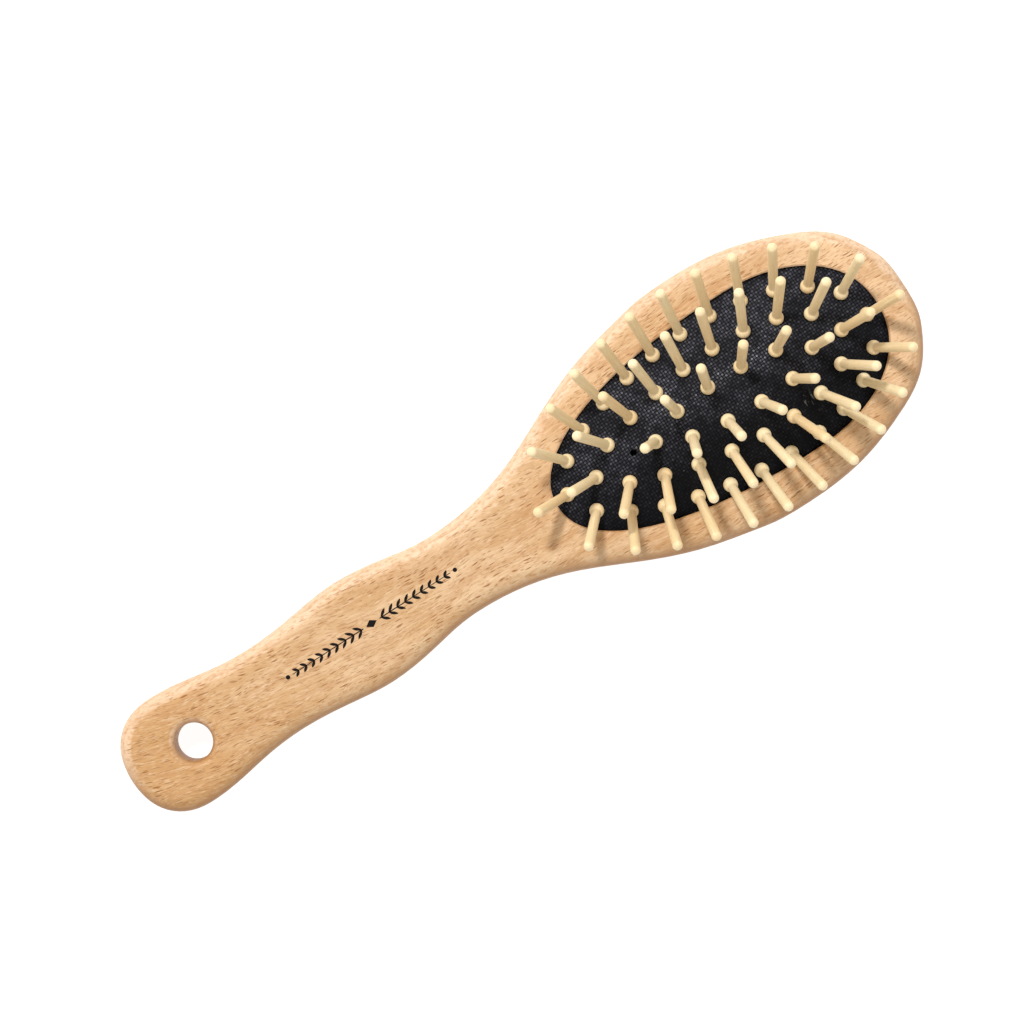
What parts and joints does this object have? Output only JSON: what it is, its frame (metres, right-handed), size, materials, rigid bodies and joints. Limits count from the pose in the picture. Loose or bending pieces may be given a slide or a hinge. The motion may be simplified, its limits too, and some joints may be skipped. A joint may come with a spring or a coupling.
{
  "type": "scalp massager brush",
  "caption": "Oval wooden scalp massage brush: beech board and handle, black rubber air cushion, and wooden ball-tipped pins that rock in their seats.",
  "frame": {"origin": "centre of the object's box on the flat back of the board, so the brush lies on its back with the pins up", "axes": "+X along the handle towards the head, +Y across the board, +Z from the back towards the pin tips"},
  "size_m": [0.222, 0.064, 0.0422],
  "materials": {
    "beech_board": "sanded beech with a thin satin varnish",
    "rubber_cushion": "black rubber with a fine woven emboss",
    "pin_wood": "pale polished wood"
  },
  "bodies": {
    "board": {"handle_body": "beech_board"},
    "cushion": {"cushion_pad": "rubber_cushion"},
    "outer_pin_01": {"outer_pin_01": "pin_wood"},
    "outer_pin_02": {"outer_pin_02": "pin_wood"},
    "outer_pin_03": {"outer_pin_03": "pin_wood"},
    "outer_pin_04": {"outer_pin_04": "pin_wood"},
    "outer_pin_05": {"outer_pin_05": "pin_wood"},
    "outer_pin_06": {"outer_pin_06": "pin_wood"},
    "outer_pin_07": {"outer_pin_07": "pin_wood"},
    "outer_pin_08": {"outer_pin_08": "pin_wood"},
    "outer_pin_09": {"outer_pin_09": "pin_wood"},
    "outer_pin_10": {"outer_pin_10": "pin_wood"},
    "outer_pin_11": {"outer_pin_11": "pin_wood"},
    "outer_pin_12": {"outer_pin_12": "pin_wood"},
    "outer_pin_13": {"outer_pin_13": "pin_wood"},
    "outer_pin_14": {"outer_pin_14": "pin_wood"},
    "outer_pin_15": {"outer_pin_15": "pin_wood"},
    "outer_pin_16": {"outer_pin_16": "pin_wood"},
    "outer_pin_17": {"outer_pin_17": "pin_wood"},
    "outer_pin_18": {"outer_pin_18": "pin_wood"},
    "outer_pin_19": {"outer_pin_19": "pin_wood"},
    "outer_pin_20": {"outer_pin_20": "pin_wood"},
    "outer_pin_21": {"outer_pin_21": "pin_wood"},
    "outer_pin_22": {"outer_pin_22": "pin_wood"},
    "outer_pin_23": {"outer_pin_23": "pin_wood"},
    "outer_pin_24": {"outer_pin_24": "pin_wood"},
    "middle_pin_01": {"middle_pin_01": "pin_wood"},
    "middle_pin_02": {"middle_pin_02": "pin_wood"},
    "middle_pin_03": {"middle_pin_03": "pin_wood"},
    "middle_pin_04": {"middle_pin_04": "pin_wood"},
    "middle_pin_05": {"middle_pin_05": "pin_wood"},
    "middle_pin_06": {"middle_pin_06": "pin_wood"},
    "middle_pin_07": {"middle_pin_07": "pin_wood"},
    "middle_pin_08": {"middle_pin_08": "pin_wood"},
    "middle_pin_09": {"middle_pin_09": "pin_wood"},
    "middle_pin_10": {"middle_pin_10": "pin_wood"},
    "middle_pin_11": {"middle_pin_11": "pin_wood"},
    "middle_pin_12": {"middle_pin_12": "pin_wood"},
    "middle_pin_13": {"middle_pin_13": "pin_wood"},
    "middle_pin_14": {"middle_pin_14": "pin_wood"},
    "middle_pin_15": {"middle_pin_15": "pin_wood"},
    "middle_pin_16": {"middle_pin_16": "pin_wood"},
    "middle_pin_17": {"middle_pin_17": "pin_wood"},
    "middle_pin_18": {"middle_pin_18": "pin_wood"},
    "inner_pin_01": {"inner_pin_01": "pin_wood"},
    "inner_pin_02": {"inner_pin_02": "pin_wood"},
    "inner_pin_03": {"inner_pin_03": "pin_wood"},
    "inner_pin_04": {"inner_pin_04": "pin_wood"},
    "inner_pin_05": {"inner_pin_05": "pin_wood"},
    "inner_pin_06": {"inner_pin_06": "pin_wood"},
    "inner_pin_07": {"inner_pin_07": "pin_wood"},
    "inner_pin_08": {"inner_pin_08": "pin_wood"},
    "inner_pin_09": {"inner_pin_09": "pin_wood"},
    "inner_pin_10": {"inner_pin_10": "pin_wood"}
  },
  "joints": [
    {"name": "cushion_press", "type": "slide", "parent": "board", "child": "cushion", "axis": [0, 0, -1], "range_m": [0, 0.0012], "stiffness_N_per_m": 4000, "deforming": ["cushion_pad"]},
    {"name": "outer_pin_01_tilt", "type": "hinge", "parent": "cushion", "child": "outer_pin_01", "pos_m": [0.09898, -0.00126, 0.0153], "axis": [1, 0, 0], "range_deg": [-10, 10], "stiffness_Nm_per_rad": 0.033, "deforming": ["cushion_pad"]},
    {"name": "outer_pin_02_tilt", "type": "hinge", "parent": "cushion", "child": "outer_pin_02", "pos_m": [0.09653, 0.0065, 0.01582], "axis": [1, 0, 0], "range_deg": [-10, 10], "stiffness_Nm_per_rad": 0.033, "deforming": ["cushion_pad"]},
    {"name": "outer_pin_03_tilt", "type": "hinge", "parent": "cushion", "child": "outer_pin_03", "pos_m": [0.09054, 0.01214, 0.01637], "axis": [1, 0, 0], "range_deg": [-10, 10], "stiffness_Nm_per_rad": 0.033, "deforming": ["cushion_pad"]},
    {"name": "outer_pin_04_tilt", "type": "hinge", "parent": "cushion", "child": "outer_pin_04", "pos_m": [0.08311, 0.01576, 0.01649], "axis": [1, 0, 0], "range_deg": [-10, 10], "stiffness_Nm_per_rad": 0.033, "deforming": ["cushion_pad"]},
    {"name": "outer_pin_05_tilt", "type": "hinge", "parent": "cushion", "child": "outer_pin_05", "pos_m": [0.07512, 0.01789, 0.01615], "axis": [1, 0, 0], "range_deg": [-10, 10], "stiffness_Nm_per_rad": 0.033, "deforming": ["cushion_pad"]},
    {"name": "outer_pin_06_tilt", "type": "hinge", "parent": "cushion", "child": "outer_pin_06", "pos_m": [0.0669, 0.01891, 0.01558], "axis": [1, 0, 0], "range_deg": [-10, 10], "stiffness_Nm_per_rad": 0.033, "deforming": ["cushion_pad"]},
    {"name": "outer_pin_07_tilt", "type": "hinge", "parent": "cushion", "child": "outer_pin_07", "pos_m": [0.05862, 0.01905, 0.01526], "axis": [1, 0, 0], "range_deg": [-10, 10], "stiffness_Nm_per_rad": 0.033, "deforming": ["cushion_pad"]},
    {"name": "outer_pin_08_tilt", "type": "hinge", "parent": "cushion", "child": "outer_pin_08", "pos_m": [0.05037, 0.01844, 0.01513], "axis": [1, 0, 0], "range_deg": [-10, 10], "stiffness_Nm_per_rad": 0.033, "deforming": ["cushion_pad"]},
    {"name": "outer_pin_09_tilt", "type": "hinge", "parent": "cushion", "child": "outer_pin_09", "pos_m": [0.04219, 0.01714, 0.01508], "axis": [1, 0, 0], "range_deg": [-10, 10], "stiffness_Nm_per_rad": 0.033, "deforming": ["cushion_pad"]},
    {"name": "outer_pin_10_tilt", "type": "hinge", "parent": "cushion", "child": "outer_pin_10", "pos_m": [0.03416, 0.01513, 0.01502], "axis": [1, 0, 0], "range_deg": [-10, 10], "stiffness_Nm_per_rad": 0.033, "deforming": ["cushion_pad"]},
    {"name": "outer_pin_11_tilt", "type": "hinge", "parent": "cushion", "child": "outer_pin_11", "pos_m": [0.02639, 0.01228, 0.01487], "axis": [1, 0, 0], "range_deg": [-10, 10], "stiffness_Nm_per_rad": 0.033, "deforming": ["cushion_pad"]},
    {"name": "outer_pin_12_tilt", "type": "hinge", "parent": "cushion", "child": "outer_pin_12", "pos_m": [0.01925, 0.00812, 0.01461], "axis": [1, 0, 0], "range_deg": [-10, 10], "stiffness_Nm_per_rad": 0.033, "deforming": ["cushion_pad"]},
    {"name": "outer_pin_13_tilt", "type": "hinge", "parent": "cushion", "child": "outer_pin_13", "pos_m": [0.01502, 0.0013, 0.01444], "axis": [1, 0, 0], "range_deg": [-10, 10], "stiffness_Nm_per_rad": 0.033, "deforming": ["cushion_pad"]},
    {"name": "outer_pin_14_tilt", "type": "hinge", "parent": "cushion", "child": "outer_pin_14", "pos_m": [0.01883, -0.00576, 0.01495], "axis": [1, 0, 0], "range_deg": [-10, 10], "stiffness_Nm_per_rad": 0.033, "deforming": ["cushion_pad"]},
    {"name": "outer_pin_15_tilt", "type": "hinge", "parent": "cushion", "child": "outer_pin_15", "pos_m": [0.0257, -0.01035, 0.01539], "axis": [1, 0, 0], "range_deg": [-10, 10], "stiffness_Nm_per_rad": 0.033, "deforming": ["cushion_pad"]},
    {"name": "outer_pin_16_tilt", "type": "hinge", "parent": "cushion", "child": "outer_pin_16", "pos_m": [0.03328, -0.01367, 0.01554], "axis": [1, 0, 0], "range_deg": [-10, 10], "stiffness_Nm_per_rad": 0.033, "deforming": ["cushion_pad"]},
    {"name": "outer_pin_17_tilt", "type": "hinge", "parent": "cushion", "child": "outer_pin_17", "pos_m": [0.04117, -0.01616, 0.01548], "axis": [1, 0, 0], "range_deg": [-10, 10], "stiffness_Nm_per_rad": 0.033, "deforming": ["cushion_pad"]},
    {"name": "outer_pin_18_tilt", "type": "hinge", "parent": "cushion", "child": "outer_pin_18", "pos_m": [0.04925, -0.01796, 0.01532], "axis": [1, 0, 0], "range_deg": [-10, 10], "stiffness_Nm_per_rad": 0.033, "deforming": ["cushion_pad"]},
    {"name": "outer_pin_19_tilt", "type": "hinge", "parent": "cushion", "child": "outer_pin_19", "pos_m": [0.05746, -0.01907, 0.01519], "axis": [1, 0, 0], "range_deg": [-10, 10], "stiffness_Nm_per_rad": 0.033, "deforming": ["cushion_pad"]},
    {"name": "outer_pin_20_tilt", "type": "hinge", "parent": "cushion", "child": "outer_pin_20", "pos_m": [0.06573, -0.01944, 0.01522], "axis": [1, 0, 0], "range_deg": [-10, 10], "stiffness_Nm_per_rad": 0.033, "deforming": ["cushion_pad"]},
    {"name": "outer_pin_21_tilt", "type": "hinge", "parent": "cushion", "child": "outer_pin_21", "pos_m": [0.07399, -0.01892, 0.01555], "axis": [1, 0, 0], "range_deg": [-10, 10], "stiffness_Nm_per_rad": 0.033, "deforming": ["cushion_pad"]},
    {"name": "outer_pin_22_tilt", "type": "hinge", "parent": "cushion", "child": "outer_pin_22", "pos_m": [0.0821, -0.01728, 0.0158], "axis": [1, 0, 0], "range_deg": [-10, 10], "stiffness_Nm_per_rad": 0.033, "deforming": ["cushion_pad"]},
    {"name": "outer_pin_23_tilt", "type": "hinge", "parent": "cushion", "child": "outer_pin_23", "pos_m": [0.08973, -0.01413, 0.01576], "axis": [1, 0, 0], "range_deg": [-10, 10], "stiffness_Nm_per_rad": 0.033, "deforming": ["cushion_pad"]},
    {"name": "outer_pin_24_tilt", "type": "hinge", "parent": "cushion", "child": "outer_pin_24", "pos_m": [0.09606, -0.00887, 0.01548], "axis": [1, 0, 0], "range_deg": [-10, 10], "stiffness_Nm_per_rad": 0.033, "deforming": ["cushion_pad"]},
    {"name": "middle_pin_01_tilt", "type": "hinge", "parent": "cushion", "child": "middle_pin_01", "pos_m": [0.09158, -0.00104, 0.0184], "axis": [1, 0, 0], "range_deg": [-10, 10], "stiffness_Nm_per_rad": 0.033, "deforming": ["cushion_pad"]},
    {"name": "middle_pin_02_tilt", "type": "hinge", "parent": "cushion", "child": "middle_pin_02", "pos_m": [0.0875, 0.0061, 0.01926], "axis": [1, 0, 0], "range_deg": [-10, 10], "stiffness_Nm_per_rad": 0.033, "deforming": ["cushion_pad"]},
    {"name": "middle_pin_03_tilt", "type": "hinge", "parent": "cushion", "child": "middle_pin_03", "pos_m": [0.07985, 0.00979, 0.01999], "axis": [1, 0, 0], "range_deg": [-10, 10], "stiffness_Nm_per_rad": 0.033, "deforming": ["cushion_pad"]},
    {"name": "middle_pin_04_tilt", "type": "hinge", "parent": "cushion", "child": "middle_pin_04", "pos_m": [0.07148, 0.01145, 0.0199], "axis": [1, 0, 0], "range_deg": [-10, 10], "stiffness_Nm_per_rad": 0.033, "deforming": ["cushion_pad"]},
    {"name": "middle_pin_05_tilt", "type": "hinge", "parent": "cushion", "child": "middle_pin_05", "pos_m": [0.06296, 0.01188, 0.01955], "axis": [1, 0, 0], "range_deg": [-10, 10], "stiffness_Nm_per_rad": 0.033, "deforming": ["cushion_pad"]},
    {"name": "middle_pin_06_tilt", "type": "hinge", "parent": "cushion", "child": "middle_pin_06", "pos_m": [0.05443, 0.01146, 0.01924], "axis": [1, 0, 0], "range_deg": [-10, 10], "stiffness_Nm_per_rad": 0.033, "deforming": ["cushion_pad"]},
    {"name": "middle_pin_07_tilt", "type": "hinge", "parent": "cushion", "child": "middle_pin_07", "pos_m": [0.04596, 0.01036, 0.01881], "axis": [1, 0, 0], "range_deg": [-10, 10], "stiffness_Nm_per_rad": 0.033, "deforming": ["cushion_pad"]},
    {"name": "middle_pin_08_tilt", "type": "hinge", "parent": "cushion", "child": "middle_pin_08", "pos_m": [0.03759, 0.00863, 0.01814], "axis": [1, 0, 0], "range_deg": [-10, 10], "stiffness_Nm_per_rad": 0.033, "deforming": ["cushion_pad"]},
    {"name": "middle_pin_09_tilt", "type": "hinge", "parent": "cushion", "child": "middle_pin_09", "pos_m": [0.02944, 0.00612, 0.01721], "axis": [1, 0, 0], "range_deg": [-10, 10], "stiffness_Nm_per_rad": 0.033, "deforming": ["cushion_pad"]},
    {"name": "middle_pin_10_tilt", "type": "hinge", "parent": "cushion", "child": "middle_pin_10", "pos_m": [0.02302, 0.00106, 0.01632], "axis": [1, 0, 0], "range_deg": [-10, 10], "stiffness_Nm_per_rad": 0.033, "deforming": ["cushion_pad"]},
    {"name": "middle_pin_11_tilt", "type": "hinge", "parent": "cushion", "child": "middle_pin_11", "pos_m": [0.02911, -0.00439, 0.01742], "axis": [1, 0, 0], "range_deg": [-10, 10], "stiffness_Nm_per_rad": 0.033, "deforming": ["cushion_pad"]},
    {"name": "middle_pin_12_tilt", "type": "hinge", "parent": "cushion", "child": "middle_pin_12", "pos_m": [0.0371, -0.0074, 0.01841], "axis": [1, 0, 0], "range_deg": [-10, 10], "stiffness_Nm_per_rad": 0.033, "deforming": ["cushion_pad"]},
    {"name": "middle_pin_13_tilt", "type": "hinge", "parent": "cushion", "child": "middle_pin_13", "pos_m": [0.04535, -0.00962, 0.01901], "axis": [1, 0, 0], "range_deg": [-10, 10], "stiffness_Nm_per_rad": 0.033, "deforming": ["cushion_pad"]},
    {"name": "middle_pin_14_tilt", "type": "hinge", "parent": "cushion", "child": "middle_pin_14", "pos_m": [0.05373, -0.01124, 0.01928], "axis": [1, 0, 0], "range_deg": [-10, 10], "stiffness_Nm_per_rad": 0.033, "deforming": ["cushion_pad"]},
    {"name": "middle_pin_15_tilt", "type": "hinge", "parent": "cushion", "child": "middle_pin_15", "pos_m": [0.06222, -0.01219, 0.01936], "axis": [1, 0, 0], "range_deg": [-10, 10], "stiffness_Nm_per_rad": 0.033, "deforming": ["cushion_pad"]},
    {"name": "middle_pin_16_tilt", "type": "hinge", "parent": "cushion", "child": "middle_pin_16", "pos_m": [0.07076, -0.01228, 0.01948], "axis": [1, 0, 0], "range_deg": [-10, 10], "stiffness_Nm_per_rad": 0.033, "deforming": ["cushion_pad"]},
    {"name": "middle_pin_17_tilt", "type": "hinge", "parent": "cushion", "child": "middle_pin_17", "pos_m": [0.07921, -0.01113, 0.01949], "axis": [1, 0, 0], "range_deg": [-10, 10], "stiffness_Nm_per_rad": 0.033, "deforming": ["cushion_pad"]},
    {"name": "middle_pin_18_tilt", "type": "hinge", "parent": "cushion", "child": "middle_pin_18", "pos_m": [0.08708, -0.00791, 0.01892], "axis": [1, 0, 0], "range_deg": [-10, 10], "stiffness_Nm_per_rad": 0.033, "deforming": ["cushion_pad"]},
    {"name": "inner_pin_01_tilt", "type": "hinge", "parent": "cushion", "child": "inner_pin_01", "pos_m": [0.08309, -0.00078, 0.02132], "axis": [1, 0, 0], "range_deg": [-10, 10], "stiffness_Nm_per_rad": 0.033, "deforming": ["cushion_pad"]},
    {"name": "inner_pin_02_tilt", "type": "hinge", "parent": "cushion", "child": "inner_pin_02", "pos_m": [0.07538, 0.00346, 0.02263], "axis": [1, 0, 0], "range_deg": [-10, 10], "stiffness_Nm_per_rad": 0.033, "deforming": ["cushion_pad"]},
    {"name": "inner_pin_03_tilt", "type": "hinge", "parent": "cushion", "child": "inner_pin_03", "pos_m": [0.06621, 0.00463, 0.02253], "axis": [1, 0, 0], "range_deg": [-10, 10], "stiffness_Nm_per_rad": 0.033, "deforming": ["cushion_pad"]},
    {"name": "inner_pin_04_tilt", "type": "hinge", "parent": "cushion", "child": "inner_pin_04", "pos_m": [0.05696, 0.00472, 0.02192], "axis": [1, 0, 0], "range_deg": [-10, 10], "stiffness_Nm_per_rad": 0.033, "deforming": ["cushion_pad"]},
    {"name": "inner_pin_05_tilt", "type": "hinge", "parent": "cushion", "child": "inner_pin_05", "pos_m": [0.04775, 0.00388, 0.02094], "axis": [1, 0, 0], "range_deg": [-10, 10], "stiffness_Nm_per_rad": 0.033, "deforming": ["cushion_pad"]},
    {"name": "inner_pin_06_tilt", "type": "hinge", "parent": "cushion", "child": "inner_pin_06", "pos_m": [0.03951, 0.00055, 0.0198], "axis": [1, 0, 0], "range_deg": [-10, 10], "stiffness_Nm_per_rad": 0.033, "deforming": ["cushion_pad"]},
    {"name": "inner_pin_07_tilt", "type": "hinge", "parent": "cushion", "child": "inner_pin_07", "pos_m": [0.04754, -0.00327, 0.021], "axis": [1, 0, 0], "range_deg": [-10, 10], "stiffness_Nm_per_rad": 0.033, "deforming": ["cushion_pad"]},
    {"name": "inner_pin_08_tilt", "type": "hinge", "parent": "cushion", "child": "inner_pin_08", "pos_m": [0.05668, -0.00467, 0.0219], "axis": [1, 0, 0], "range_deg": [-10, 10], "stiffness_Nm_per_rad": 0.033, "deforming": ["cushion_pad"]},
    {"name": "inner_pin_09_tilt", "type": "hinge", "parent": "cushion", "child": "inner_pin_09", "pos_m": [0.06592, -0.00514, 0.02238], "axis": [1, 0, 0], "range_deg": [-10, 10], "stiffness_Nm_per_rad": 0.033, "deforming": ["cushion_pad"]},
    {"name": "inner_pin_10_tilt", "type": "hinge", "parent": "cushion", "child": "inner_pin_10", "pos_m": [0.07515, -0.00454, 0.02243], "axis": [1, 0, 0], "range_deg": [-10, 10], "stiffness_Nm_per_rad": 0.033, "deforming": ["cushion_pad"]}
  ]
}
